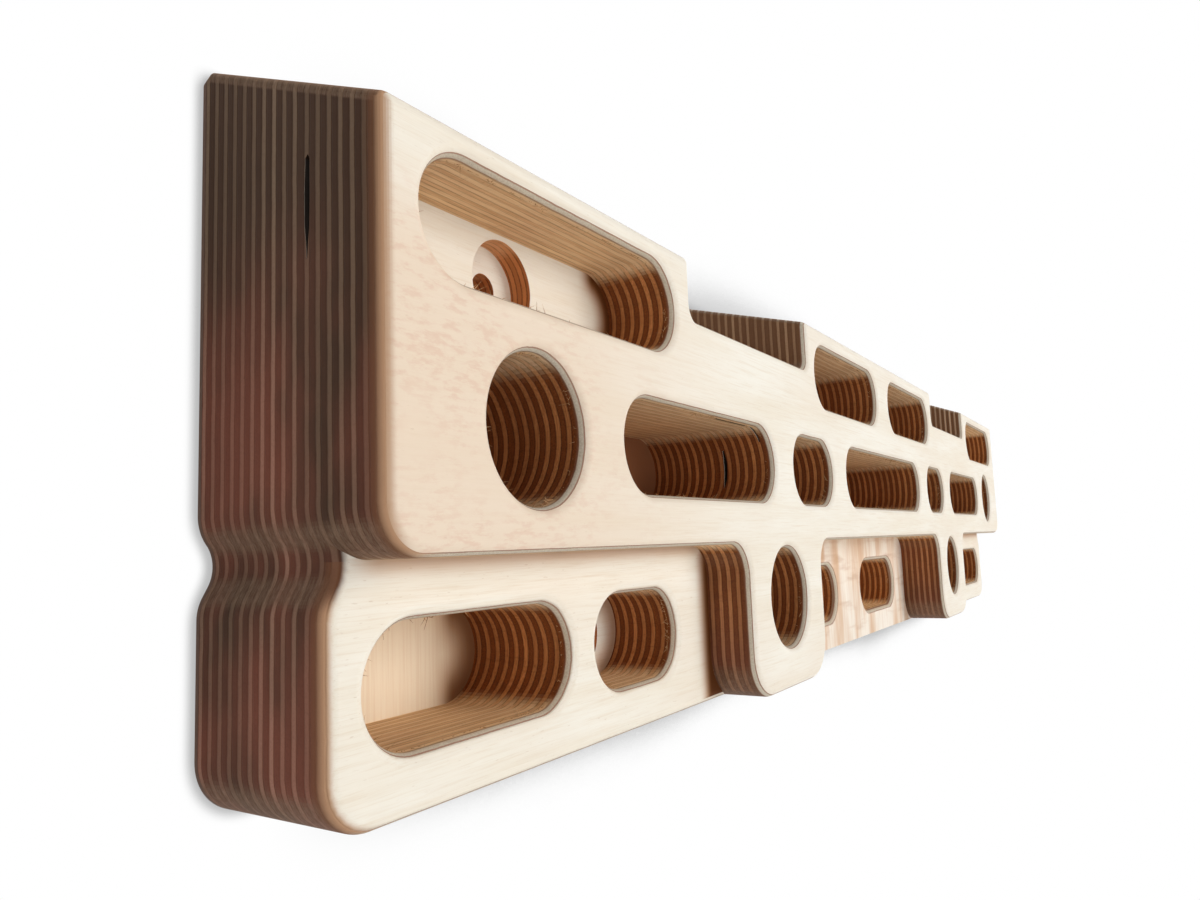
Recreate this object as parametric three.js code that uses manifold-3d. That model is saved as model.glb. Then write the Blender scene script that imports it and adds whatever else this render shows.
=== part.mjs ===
// Hangboard: two birch plywood sheets glued face to face and milled from the front.
// Millimetres, +Z up. X runs along the board, +Y points into the wall and the wall face is y = 0.
import * as THREE from 'three';
import { mergeVertices } from 'three/addons/utils/BufferGeometryUtils.js';
import Module from 'manifold-3d';

const wasm = await Module();
wasm.setup();

// Board
const boardLength = 625;
const frontTopOuter = 126.5; // height of the front top edge of the two outer raised parts
const frontTopCentre = 127.8; // the same for the centre part
const topSlopeOuterDeg = 22; // the top faces climb towards the wall
const topSlopeCentreDeg = 16;
const backEdgeChamfer = 2;
const bottomCornerRound = 11;
const edgeRound = 3; // round-over on every front edge
const roundSteps = 2;
const arcStepDeg = 45;
const slotEndSteps = 4;
const overrun = 5;

// Plies, from the sheets as sold: 15 plies in front, 21 plies behind
const innerPly = 1.48;
const frontSheetVeneer = 0.88;
const rearSheetVeneer = 0.94;
const frontSheetPairs = 7;
const rearSheetPairs = 10;
const frontSheet = 2 * frontSheetVeneer + (2 * frontSheetPairs - 1) * innerPly;
const rearSheet = 2 * rearSheetVeneer + (2 * rearSheetPairs - 1) * innerPly;
const thickness = frontSheet + rearSheet;

// Notches between the raised parts
const notchWidth = 94;
const notchCentreX = 151;
const notchFloorZ = 110;
const notchFillet = 4;

// Recesses in the lower half and the two tabs that stand between them
const recessTopZ = 47.1;
const sideRecessDepth = 14.7;
const centreRecessDepth = 21.8;
const tabWidth = 65.5;
const tabCentreX = 134;
const tabCornerRound = 14.5;
const recessFillet = 10;
const upperCornerRound = 9.5;

// Waist in both ends where the upper and lower halves meet
const waistZ = 46.7;
const waistHalfHeight = 7.6;
const waistApexDepth = 4.4;
const waistRound = 8.5;

// Rows of pockets
const slotHeight = 24;
const topRowZ = 109.7;
const middleRowZ = 72.3;
const bottomRowZ = 23.6;
const holeDiameter = 32;
const tabHoleZ = 29.3;

// Pockets stand on both sides of the centre, with floors at three depths below the front face
const deepFloor = 45;
const lowFloor = 35.6;
const jugSlot = { x: 255.4, width: 94.5, depth: frontSheet };
const topSlot = { x: 52.4, width: 84.5, depth: deepFloor };
const endHole = { x: 269.6, depth: deepFloor };
const midSlot = { x: 188.6, width: 94, depth: deepFloor };
const smallPocket = { x: 102.2, width: 42, depth: deepFloor };
const centreSlot = { width: 126.5, depth: deepFloor };
const tabHole = { depth: deepFloor };
const lowSlot = { x: 271.8, width: 63, depth: deepFloor - sideRecessDepth };
const lowPocket = { x: 208.4, width: 41.5, depth: lowFloor - sideRecessDepth };
const innerSlot = { x: 49.5, width: 61, depth: deepFloor - centreRecessDepth };

// Wall screws pass the floors of the jug slots and of the low pockets
const screwHoleDiameter = 8;
const screwBoreDiameter = 21.4;
const screwBoreDepth = 6;
const roundSides = 12;

// The origin is on the wall face, at this height above the bottom edge
const mountHeight = 73;

const faceColour = 0xf5ecdc;
const edgeColour = 0x8a5f43;
const rearEdgeColour = 0x7a5a48;

const halfLength = boardLength / 2;
const climb = (slopeDeg) => thickness * Math.tan(THREE.MathUtils.degToRad(slopeDeg));
const stockTop = Math.max(
  frontTopOuter + climb(topSlopeOuterDeg),
  frontTopCentre + climb(topSlopeCentreDeg),
);

// Outlines are drawn in x and z; w, the height above the wall face, is what they are extruded along.
const fromWall = new THREE.Matrix4().set(1, 0, 0, 0, 0, 0, -1, 0, 0, 1, 0, 0, 0, 0, 0, 1);
const alongBoard = new THREE.Matrix4().set(0, 0, 1, 0, 1, 0, 0, 0, 0, 1, 0, 0, 0, 0, 0, 1);

function solidOf(geometry, matrix) {
  const bare = geometry.clone();
  bare.applyMatrix4(matrix);
  bare.deleteAttribute('normal');
  bare.deleteAttribute('uv');
  const merged = mergeVertices(bare);
  return new wasm.Manifold(new wasm.Mesh({
    numProp: 3,
    vertProperties: merged.attributes.position.array,
    triVerts: merged.index.array,
  }));
}

function geometryOf(solid) {
  const mesh = solid.getMesh();
  const geometry = new THREE.BufferGeometry();
  geometry.setAttribute('position', new THREE.BufferAttribute(mesh.vertProperties, mesh.numProp));
  geometry.setIndex(new THREE.BufferAttribute(mesh.triVerts, 1));
  geometry.computeVertexNormals();
  return geometry;
}

// An outline from its corners, each [x, z, radius], in order round the shape
function outlineOf(corners) {
  const points = [];
  corners.forEach(([x, z, radius], index) => {
    const here = new THREE.Vector2(x, z);
    if (!radius) {
      points.push(here);
      return;
    }
    const [beforeX, beforeZ] = corners.at(index - 1);
    const [afterX, afterZ] = corners[(index + 1) % corners.length];
    const toBefore = new THREE.Vector2(beforeX, beforeZ).sub(here);
    const toAfter = new THREE.Vector2(afterX, afterZ).sub(here);
    const reach = Math.min(toBefore.length(), toAfter.length()) / 2;
    toBefore.normalize();
    toAfter.normalize();
    const opening = Math.acos(THREE.MathUtils.clamp(toBefore.dot(toAfter), -1, 1));
    const tangent = Math.min(radius / Math.tan(opening / 2), reach);
    const fitted = tangent * Math.tan(opening / 2);
    const towardsCentre = toBefore.clone().add(toAfter).normalize();
    const centre = here.clone().addScaledVector(towardsCentre, Math.hypot(tangent, fitted));
    const start = here.clone().addScaledVector(toBefore, tangent).sub(centre);
    const turn = (Math.PI - opening) * Math.sign(toAfter.cross(toBefore));
    const steps = Math.max(1, Math.ceil(Math.abs(turn) / THREE.MathUtils.degToRad(arcStepDeg)));
    for (let step = 0; step <= steps; step += 1) {
      const spoke = start.clone().rotateAround(new THREE.Vector2(), (turn * step) / steps);
      points.push(spoke.add(centre));
    }
  });
  return new THREE.Shape(points);
}

// A slot with half-round ends
function slotOutline(x, z, width) {
  const radius = slotHeight / 2;
  const reach = width / 2 - radius;
  const points = [];
  for (const end of [1, -1]) {
    for (let step = 0; step <= slotEndSteps; step += 1) {
      const angle = Math.PI * (step / slotEndSteps - 1 / 2);
      points.push(new THREE.Vector2(
        x + end * (reach + Math.cos(angle) * radius),
        z + end * Math.sin(angle) * radius,
      ));
    }
  }
  return new THREE.Shape(points);
}

function roundOutline(x, z, diameter) {
  const points = [];
  for (let side = 0; side < roundSides; side += 1) {
    const angle = (2 * Math.PI * (side + 1 / 2)) / roundSides;
    points.push(new THREE.Vector2(
      x + (Math.cos(angle) * diameter) / 2,
      z + (Math.sin(angle) * diameter) / 2,
    ));
  }
  return new THREE.Shape(points);
}

function prism(shape, fromW, toW) {
  const geometry = new THREE.ExtrudeGeometry(shape, { depth: toW - fromW, bevelEnabled: false });
  geometry.translate(0, 0, fromW);
  return solidOf(geometry, fromWall);
}

// A prism whose far edge, at toW, carries the round-over
function roundedPrism(shape, fromW, toW) {
  const geometry = new THREE.ExtrudeGeometry(shape, {
    depth: toW - fromW,
    bevelThickness: edgeRound,
    bevelSize: edgeRound,
    bevelOffset: -edgeRound,
    bevelSegments: roundSteps,
  });
  geometry.translate(0, 0, fromW - edgeRound);
  return solidOf(geometry, fromWall);
}

// A pocket from its face plane at faceW down to floorW, flared at the mouth by the round-over
function pocketCutter(shape, floorW, faceW) {
  let cutter = prism(shape, floorW, faceW + overrun);
  const widening = (step) => edgeRound * (1 - Math.cos((step * Math.PI) / 2 / roundSteps));
  const rise = (step) => edgeRound * Math.sin((step * Math.PI) / 2 / roundSteps);
  for (let step = 0; step < roundSteps; step += 1) {
    const flare = new THREE.ExtrudeGeometry(shape, {
      depth: overrun,
      bevelThickness: rise(step + 1) - rise(step),
      bevelSize: widening(step + 1) - widening(step),
      bevelOffset: widening(step),
      bevelSegments: 1,
    });
    flare.translate(0, 0, faceW - edgeRound + rise(step + 1));
    cutter = cutter.add(solidOf(flare, fromWall));
  }
  return cutter;
}

function box(fromX, toX, fromW, toW, fromZ, toZ) {
  const geometry = new THREE.BoxGeometry(toX - fromX, toW - fromW, toZ - fromZ);
  const middle = [(fromX + toX) / 2, -(fromW + toW) / 2, (fromZ + toZ) / 2];
  geometry.translate(...middle);
  return solidOf(geometry, new THREE.Matrix4());
}

// What lies above a sloping top face, between two places along the board
function topCutter(fromX, toX, frontTop, slopeDeg) {
  const slope = Math.tan(THREE.MathUtils.degToRad(slopeDeg));
  const topAt = (w) => frontTop + (thickness - w) * slope;
  const profile = new THREE.Shape();
  profile.moveTo(overrun, topAt(0) - backEdgeChamfer);
  profile.lineTo(overrun, stockTop + overrun);
  profile.lineTo(-thickness - overrun, stockTop + overrun);
  profile.lineTo(-thickness - overrun, frontTop - edgeRound);
  for (let step = 0; step <= roundSteps; step += 1) {
    const angle = (step * Math.PI) / 2 / roundSteps;
    const w = thickness - edgeRound * (1 - Math.cos(angle));
    const roundTop = frontTop - edgeRound * (1 - Math.sin(angle));
    profile.lineTo(-w, step < roundSteps ? roundTop : topAt(w));
  }
  profile.lineTo(-backEdgeChamfer, topAt(backEdgeChamfer));
  profile.lineTo(0, topAt(0) - backEdgeChamfer);
  const geometry = new THREE.ExtrudeGeometry(profile, { depth: toX - fromX, bevelEnabled: false });
  geometry.translate(0, 0, fromX);
  return solidOf(geometry, alongBoard);
}

// The corners of the top edge from right to left: raised part, notch, raised part, notch, raised part
function topCorners() {
  const outer = notchCentreX + notchWidth / 2;
  const inner = notchCentreX - notchWidth / 2;
  return [
    [halfLength, stockTop, 0],
    [outer, stockTop, 0],
    [outer, notchFloorZ, notchFillet],
    [inner, notchFloorZ, notchFillet],
    [inner, stockTop, 0],
    [-inner, stockTop, 0],
    [-inner, notchFloorZ, notchFillet],
    [-outer, notchFloorZ, notchFillet],
    [-outer, stockTop, 0],
    [-halfLength, stockTop, 0],
  ];
}

// Upper half with its two tabs, through the full thickness
function frontOutline() {
  const outer = tabCentreX + tabWidth / 2;
  const inner = tabCentreX - tabWidth / 2;
  return outlineOf([
    [-halfLength, recessTopZ, upperCornerRound],
    [-outer, recessTopZ, recessFillet],
    [-outer, 0, tabCornerRound],
    [-inner, 0, tabCornerRound],
    [-inner, recessTopZ, recessFillet],
    [inner, recessTopZ, recessFillet],
    [inner, 0, tabCornerRound],
    [outer, 0, tabCornerRound],
    [outer, recessTopZ, recessFillet],
    [halfLength, recessTopZ, upperCornerRound],
    ...topCorners(),
  ]);
}

// The whole board behind the side recesses
function rearOutline() {
  return outlineOf([
    [-halfLength, 0, bottomCornerRound],
    [halfLength, 0, bottomCornerRound],
    [halfLength, waistZ - waistHalfHeight, waistRound],
    [halfLength - waistApexDepth, waistZ, waistRound],
    [halfLength, waistZ + waistHalfHeight, waistRound],
    ...topCorners(),
    [-halfLength, waistZ + waistHalfHeight, waistRound],
    [-halfLength + waistApexDepth, waistZ, waistRound],
    [-halfLength, waistZ - waistHalfHeight, waistRound],
  ]);
}

// Between the tabs, following the round lower corner of each down to the bottom edge
function centreRecessOutline() {
  const side = tabCentreX - tabWidth / 2;
  const beyond = side + 2 * tabCornerRound;
  return outlineOf([
    [-beyond, -overrun, 0],
    [beyond, -overrun, 0],
    [beyond, 0, 0],
    [side, 0, tabCornerRound],
    [side, recessTopZ, recessFillet],
    [-side, recessTopZ, recessFillet],
    [-side, 0, tabCornerRound],
    [-beyond, 0, 0],
  ]);
}

function pocketCutters() {
  const sideFace = thickness - sideRecessDepth;
  const centreFace = thickness - centreRecessDepth;
  const cutters = [];
  const slot = (x, z, width, depth, faceW) => {
    cutters.push(pocketCutter(slotOutline(x, z, width), faceW - depth, faceW));
  };
  const hole = (x, z, depth) => {
    cutters.push(pocketCutter(roundOutline(x, z, holeDiameter), thickness - depth, thickness));
  };
  slot(0, middleRowZ, centreSlot.width, centreSlot.depth, thickness);
  for (const side of [-1, 1]) {
    slot(side * jugSlot.x, topRowZ, jugSlot.width, jugSlot.depth, thickness);
    slot(side * topSlot.x, topRowZ, topSlot.width, topSlot.depth, thickness);
    slot(side * midSlot.x, middleRowZ, midSlot.width, midSlot.depth, thickness);
    slot(side * smallPocket.x, middleRowZ, smallPocket.width, smallPocket.depth, thickness);
    slot(side * lowSlot.x, bottomRowZ, lowSlot.width, lowSlot.depth, sideFace);
    slot(side * lowPocket.x, bottomRowZ, lowPocket.width, lowPocket.depth, sideFace);
    slot(side * innerSlot.x, bottomRowZ, innerSlot.width, innerSlot.depth, centreFace);
    hole(side * endHole.x, middleRowZ, endHole.depth);
    hole(side * tabCentreX, tabHoleZ, tabHole.depth);
  }
  return cutters;
}

function screwCutters() {
  const cutters = [];
  const stepped = (x, z, floorW) => {
    const bore = roundOutline(x, z, screwBoreDiameter);
    cutters.push(prism(bore, floorW - screwBoreDepth, floorW + overrun));
    cutters.push(prism(roundOutline(x, z, screwHoleDiameter), -overrun, floorW));
  };
  for (const side of [-1, 1]) {
    stepped(side * jugSlot.x, topRowZ, thickness - jugSlot.depth);
    stepped(side * lowPocket.x, bottomRowZ, thickness - sideRecessDepth - lowPocket.depth);
  }
  return cutters;
}

function milledBoard() {
  const sideFace = thickness - sideRecessDepth;
  const centreFace = thickness - centreRecessDepth;
  const split = notchCentreX;
  const end = halfLength + overrun;
  const cuts = [
    topCutter(-end, -split, frontTopOuter, topSlopeOuterDeg),
    topCutter(-split, split, frontTopCentre, topSlopeCentreDeg),
    topCutter(split, end, frontTopOuter, topSlopeOuterDeg),
    prism(centreRecessOutline(), centreFace, thickness + overrun),
    ...pocketCutters(),
    ...screwCutters(),
  ];
  const stock = roundedPrism(frontOutline(), 0, thickness).add(roundedPrism(rearOutline(), 0, sideFace));
  return cuts.reduce((board, cut) => board.subtract(cut), stock);
}

// The layers from the front face to the wall face: a pair is one long-grain and one cross-grain ply
function layers() {
  const list = [];
  let toW = thickness;
  const add = (name, height, colour) => {
    list.push({ name, fromW: toW - height, toW, colour });
    toW -= height;
  };
  add('front_sheet_face_veneer', frontSheetVeneer, faceColour);
  for (let pair = 1; pair <= frontSheetPairs; pair += 1) {
    const last = pair === frontSheetPairs;
    add(`front_sheet_ply_pair_${pair}`, innerPly + (last ? frontSheetVeneer : innerPly), edgeColour);
  }
  for (let pair = 1; pair <= rearSheetPairs; pair += 1) {
    const first = pair === 1;
    add(`rear_sheet_ply_pair_${pair}`, innerPly + (first ? rearSheetVeneer : innerPly), rearEdgeColour);
  }
  add('rear_sheet_back_veneer', rearSheetVeneer, faceColour);
  return list;
}

const board = milledBoard();
const hangboard = new THREE.Group();
const stack = layers();
for (const [index, layer] of stack.entries()) {
  const fromW = index === stack.length - 1 ? 0 : layer.fromW;
  const toW = index === 0 ? thickness + overrun : layer.toW;
  const slab = box(-boardLength, boardLength, fromW, toW, -overrun, stockTop + overrun);
  const material = new THREE.MeshStandardMaterial({ color: layer.colour, roughness: 0.7, metalness: 0 });
  const mesh = new THREE.Mesh(geometryOf(board.intersect(slab)), material);
  mesh.name = layer.name;
  hangboard.add(mesh);
}
hangboard.position.z = -mountHeight;

export default hangboard;
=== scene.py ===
# %% [markdown]
# # A birch plywood hangboard
# A hangboard is a fixture that climbers hang from by their fingers. This one is two sheets of birch
# plywood glued face to face and milled from the front, so every milled wall shows the stripes of
# the plies. The lesson builds the board as one block, mills it, and then parts it into its layers.
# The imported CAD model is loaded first, because every size and place is set against it.

import math
from types import SimpleNamespace

import bmesh
import bpy
from mathutils import Matrix, Vector


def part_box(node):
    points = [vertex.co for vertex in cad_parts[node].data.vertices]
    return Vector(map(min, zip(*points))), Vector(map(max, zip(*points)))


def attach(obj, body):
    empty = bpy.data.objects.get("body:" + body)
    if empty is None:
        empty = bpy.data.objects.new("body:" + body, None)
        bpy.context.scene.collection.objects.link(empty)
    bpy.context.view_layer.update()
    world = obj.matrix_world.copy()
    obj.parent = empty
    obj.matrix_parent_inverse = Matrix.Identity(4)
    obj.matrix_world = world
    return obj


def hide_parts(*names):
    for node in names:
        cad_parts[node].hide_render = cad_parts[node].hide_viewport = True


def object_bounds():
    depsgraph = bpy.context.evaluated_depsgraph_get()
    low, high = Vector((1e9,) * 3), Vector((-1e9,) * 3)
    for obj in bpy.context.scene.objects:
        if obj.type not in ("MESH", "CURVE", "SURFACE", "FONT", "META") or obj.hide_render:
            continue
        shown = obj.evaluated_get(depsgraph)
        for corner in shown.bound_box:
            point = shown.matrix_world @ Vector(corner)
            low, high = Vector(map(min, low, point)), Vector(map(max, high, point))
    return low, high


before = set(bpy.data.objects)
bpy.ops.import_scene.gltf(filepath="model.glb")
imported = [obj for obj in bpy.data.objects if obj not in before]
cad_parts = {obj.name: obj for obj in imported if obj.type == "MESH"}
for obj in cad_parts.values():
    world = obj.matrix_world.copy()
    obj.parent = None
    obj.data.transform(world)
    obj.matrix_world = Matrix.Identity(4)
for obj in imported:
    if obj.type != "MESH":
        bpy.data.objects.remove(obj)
cad_box = [list(corner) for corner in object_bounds()]
print("CAD box", cad_box)

# %% [markdown]
# ## Sizes
# The model's unit is the metre, and a milled board is thought of in millimetres, so lengths are
# written in millimetres and turned into metres once. X runs along the board, Y points into the
# wall, and a depth is measured from the front face towards the wall.

# %% Sizes of the board
MM = 0.001
low_corner, high_corner = (Vector(corner) for corner in cad_box)
half_length = high_corner.x
front_y = low_corner.y
bottom_z = low_corner.z
thickness = -front_y

front_top_outer, front_top_centre = 126.5 * MM, 127.8 * MM
slope_outer, slope_centre = math.tan(math.radians(22)), math.tan(math.radians(16))
back_edge_chamfer = 2 * MM
edge_round = 3 * MM
overrun = 5 * MM
board_size = (2 * half_length, thickness, high_corner.z - bottom_z)
print("board", [round(length / MM, 1) for length in board_size], "mm")

# %% [markdown]
# The two sheets have 15 and 21 veneers. The outer veneers of a sheet are thinner than the inner
# ones, because they are sanded. Grain runs along the board in the outer veneers and in every
# second one inside, and up the board in the others, the cross plies.

# %% Sizes of the plies
inner_ply = 1.48 * MM
face_veneer = 0.88 * MM
rear_sheet_depth = 21 * MM
rear_first_veneer = 0.94 * MM
print("plies in the board", round(thickness / inner_ply, 1), "at the inner ply's thickness")

# %% [markdown]
# ## Camera
# The photograph was taken from very near the left end, with a wide lens and the board on its wall.
# The camera's place and turn were fitted to the edges and the ply stripes seen in the photograph.

# %% Camera
eye = Vector((-0.41134, -0.15474, -0.02496))
yaw, pitch, roll = 1.0038, 0.1100, -0.0373
focal_pixels, image_width = 869.26, 1200

ahead = math.cos(pitch)
forward = Vector((math.sin(yaw) * ahead, math.cos(yaw) * ahead, math.sin(pitch)))
level_right = Vector((math.cos(yaw), -math.sin(yaw), 0))
level_up = level_right.cross(forward)
right = level_right * math.cos(roll) + level_up * math.sin(roll)
up = level_up * math.cos(roll) - level_right * math.sin(roll)

lens = bpy.data.cameras.new("camera")
lens.sensor_fit = "HORIZONTAL"
lens.sensor_width = 36
lens.lens = focal_pixels / image_width * lens.sensor_width
lens.clip_start, lens.clip_end = 0.01, 50
camera = bpy.data.objects.new("camera", lens)
camera.matrix_world = Matrix((
    (right.x, up.x, -forward.x, eye.x),
    (right.y, up.y, -forward.y, eye.y),
    (right.z, up.z, -forward.z, eye.z),
    (0, 0, 0, 1),
))
bpy.context.scene.collection.objects.link(camera)
bpy.context.scene.camera = camera
print("lens", round(lens.lens, 2), "mm")

# %% [markdown]
# ## Outlines
# A milling cutter leaves round corners, so each outline is a list of corners with a radius. Each
# radius becomes a short run of points on its arc. The same helper draws every outline.

# %% Outline helper
ARC_STEP = math.radians(5)


def outline_of(corners):
    """Points round an outline, from its corners (x, height, radius) in millimetres."""
    points = []
    for index, (x, z, radius) in enumerate(corners):
        here = Vector((x, z)) * MM
        if not radius:
            points.append(here)
            continue
        before = Vector(corners[index - 1][:2]) * MM - here
        after = Vector(corners[(index + 1) % len(corners)][:2]) * MM - here
        reach = min(before.length, after.length) / 2
        before.normalize()
        after.normalize()
        half = before.angle(after) / 2
        tangent = min(radius * MM / math.tan(half), reach)
        fitted = tangent * math.tan(half)
        centre = here + (before + after).normalized() * math.hypot(tangent, fitted)
        spoke = here + before * tangent - centre
        turn = (math.pi - 2 * half) * (1 if after.x * before.y - after.y * before.x > 0 else -1)
        steps = max(2, math.ceil(abs(turn) / ARC_STEP))
        for step in range(steps + 1):
            angle = turn * step / steps
            points.append(centre + Vector((
                spoke.x * math.cos(angle) - spoke.y * math.sin(angle),
                spoke.x * math.sin(angle) + spoke.y * math.cos(angle),
            )))
    return points


# %% [markdown]
# The top edge steps down at two notches. The upper half of the board stands proud of the lower
# half, and two tabs reach down from it. Behind the step the sheet runs down to the bottom edge,
# and a waist is cut into both ends where the halves meet.

# %% Outlines of the board
half = half_length / MM
stock_top = 160
notch_x, notch_half_width, notch_floor, notch_fillet = 151, 47, 110, 4
notch_outer, notch_inner = notch_x + notch_half_width, notch_x - notch_half_width
tab_x, tab_half_width, tab_corner = 134, 32.75, 14.5
tab_outer, tab_inner = tab_x + tab_half_width, tab_x - tab_half_width
recess_top, recess_fillet, upper_corner, lower_corner = 47.1, 10, 9.5, 11
side_recess_depth, centre_recess_depth = 14.7, 21.8
waist_z, waist_half_height, waist_depth, waist_round = 46.7, 7.6, 4.4, 8.5

top_corners = [
    (half, stock_top, 0), (notch_outer, stock_top, 0),
    (notch_outer, notch_floor, notch_fillet), (notch_inner, notch_floor, notch_fillet),
    (notch_inner, stock_top, 0), (-notch_inner, stock_top, 0),
    (-notch_inner, notch_floor, notch_fillet), (-notch_outer, notch_floor, notch_fillet),
    (-notch_outer, stock_top, 0), (-half, stock_top, 0),
]
upper_outline = outline_of([
    (-half, recess_top, upper_corner), (-tab_outer, recess_top, recess_fillet),
    (-tab_outer, 0, tab_corner), (-tab_inner, 0, tab_corner),
    (-tab_inner, recess_top, recess_fillet), (tab_inner, recess_top, recess_fillet),
    (tab_inner, 0, tab_corner), (tab_outer, 0, tab_corner),
    (tab_outer, recess_top, recess_fillet), (half, recess_top, upper_corner),
    *top_corners,
])
whole_outline = outline_of([
    (-half, 0, lower_corner), (half, 0, lower_corner),
    (half, waist_z - waist_half_height, waist_round), (half - waist_depth, waist_z, waist_round),
    (half, waist_z + waist_half_height, waist_round),
    *top_corners,
    (-half, waist_z + waist_half_height, waist_round), (-half + waist_depth, waist_z, waist_round),
    (-half, waist_z - waist_half_height, waist_round),
])
beyond, below = tab_inner + 2 * tab_corner, -overrun / MM
centre_recess_outline = outline_of([
    (-beyond, below, 0), (beyond, below, 0), (beyond, 0, 0), (tab_inner, 0, tab_corner),
    (tab_inner, recess_top, recess_fillet), (-tab_inner, recess_top, recess_fillet),
    (-tab_inner, 0, tab_corner), (-beyond, 0, 0),
])
print("outline points", len(upper_outline), len(whole_outline), len(centre_recess_outline))

# %% [markdown]
# ## Stock
# A block with a round-over is a stack of rings: the outline at each depth, drawn in a little more
# towards the front. Rings are simple, and they keep the round-over's steps even round every corner.
# The helper joins the rings with walls and closes both ends.

# %% Ring helper
def stacked(name, rings):
    """A closed solid from rings with the same number of points, one wall from ring to ring."""
    count = len(rings[0])
    walls = [
        (count * level + index, count * level + (index + 1) % count,
         count * (level + 1) + (index + 1) % count, count * (level + 1) + index)
        for level in range(len(rings) - 1) for index in range(count)
    ]
    ends = [tuple(range(count)), tuple(range(count * (len(rings) - 1), count * len(rings)))]
    mesh = bpy.data.meshes.new(name)
    mesh.from_pydata([point for ring in rings for point in ring], [], walls + ends)
    shaped = bmesh.new()
    shaped.from_mesh(mesh)
    bmesh.ops.triangulate(shaped, faces=shaped.faces)
    bmesh.ops.recalc_face_normals(shaped, faces=shaped.faces)
    shaped.to_mesh(mesh)
    shaped.free()
    solid = bpy.data.objects.new(name, mesh)
    bpy.context.scene.collection.objects.link(solid)
    return solid


def drawn_in(points, distance):
    """The outline moved inwards by a distance, square to its own edges."""
    moved = []
    for index, here in enumerate(points):
        arriving = (here - points[index - 1]).normalized()
        leaving = (points[(index + 1) % len(points)] - here).normalized()
        inward_a, inward_b = Vector((-arriving.y, arriving.x)), Vector((-leaving.y, leaving.x))
        middle = (inward_a + inward_b).normalized()
        moved.append(here + middle * distance / max(0.3, middle.dot(inward_a)))
    return moved


def at_depth(points, depth):
    """The outline as a ring in the scene, at a depth behind the front face."""
    return [(point.x, front_y + depth, bottom_z + point.y) for point in points]


# %% [markdown]
# The upper block starts at the front face, and the whole block behind the step. Ten steps are
# enough for a round-over of 3 mm in a close view. The middle recess lies deeper still, so its
# outline becomes a cutter for later.

# %% Rounded blocks
ROUND_STEPS = 10
quarter = [math.pi / 2 * step / ROUND_STEPS for step in range(ROUND_STEPS + 1)]


def rounded_block(name, points, face_depth):
    rings = [at_depth(points, thickness)]
    for angle in quarter:
        inset = drawn_in(points, edge_round * (1 - math.cos(angle)))
        rings.append(at_depth(inset, face_depth + edge_round * (1 - math.sin(angle))))
    return stacked(name, rings)


upper_block = rounded_block("upper_block", upper_outline, 0)
whole_block = rounded_block("whole_block", whole_outline, side_recess_depth * MM)
centre_recess = stacked("centre_recess", [
    at_depth(centre_recess_outline, -overrun),
    at_depth(centre_recess_outline, centre_recess_depth * MM),
])
print("stock vertices", len(upper_block.data.vertices), len(whole_block.data.vertices))

# %% [markdown]
# ## Node trees from plain sums
# Both the pocket cutter and the wood are written as node trees. Wiring Math nodes by hand hides
# the sum that they stand for, so one small class wraps a socket and lets Python's own signs add
# the nodes. It works the same way in a geometry tree and in a material.

# %% Sum helper
class Wire:
    """A socket of a node tree that can be used in a sum."""

    def __init__(self, tree, socket):
        self.tree, self.socket = tree, socket

    def node(self, kind, inputs=(), out=0, **settings):
        """Adds a node: its settings first, then its sockets by number or name."""
        made = self.tree.nodes.new(kind)
        for key, value in settings.items():
            setattr(made, key, value)
        for key, value in (inputs.items() if isinstance(inputs, dict) else enumerate(inputs)):
            if isinstance(value, Wire):
                self.tree.links.new(value.socket, made.inputs[key])
            elif value is not None:
                made.inputs[key].default_value = value
        return Wire(self.tree, made.outputs[out])

    def math(self, operation, *values):
        return self.node("ShaderNodeMath", values, operation=operation)

    def __add__(self, other):
        return self.math("ADD", self, other)

    def __radd__(self, other):
        return self.math("ADD", other, self)

    def __sub__(self, other):
        return self.math("SUBTRACT", self, other)

    def __rsub__(self, other):
        return self.math("SUBTRACT", other, self)

    def __mul__(self, other):
        return self.math("MULTIPLY", self, other)

    def __rmul__(self, other):
        return self.math("MULTIPLY", other, self)

    def __truediv__(self, other):
        return self.math("DIVIDE", self, other)

    def __gt__(self, other):
        return self.math("GREATER_THAN", self, other)

    def __lt__(self, other):
        return self.math("LESS_THAN", self, other)

    def __neg__(self):
        return self.math("MULTIPLY", self, -1)

    def floor(self):
        return self.math("FLOOR", self, 0)

    def fraction(self):
        return self.math("FRACT", self, 0)

    def absolute(self):
        return self.math("ABSOLUTE", self, 0)

    def sign(self):
        return self.math("SIGN", self, 0)

    def cosine(self):
        return self.math("COSINE", self, 0)

    def sine(self):
        return self.math("SINE", self, 0)

    def smallest(self, other):
        return self.math("MINIMUM", self, other)

    def largest(self, other):
        return self.math("MAXIMUM", self, other)

    def ramp(self, start, end, to_low=0.0, to_high=1.0):
        """Eases from one value to another as the wire goes from start to end."""
        return self.node("ShaderNodeMapRange", (self, start, end, to_low, to_high),
                         interpolation_type="SMOOTHSTEP")


def split_up(start, vector):
    """The three parts of a vector."""
    parts = start.node("ShaderNodeSeparateXYZ", (vector,))
    return [Wire(start.tree, parts.socket.node.outputs[index]) for index in range(3)]


# %% [markdown]
# ## Pockets
# Each pocket is a slot with half-round ends, or a round hole, and all have the same rounded mouth.
# That is a rule, so one Geometry Nodes tree makes every cutter. It starts from a plain cylinder of
# rings, and moves each point out by the round-over and apart by the slot's straight part.

# %% Pocket cutter tree
END_POINTS = 64
MOUTH_STEPS = 10


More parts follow.
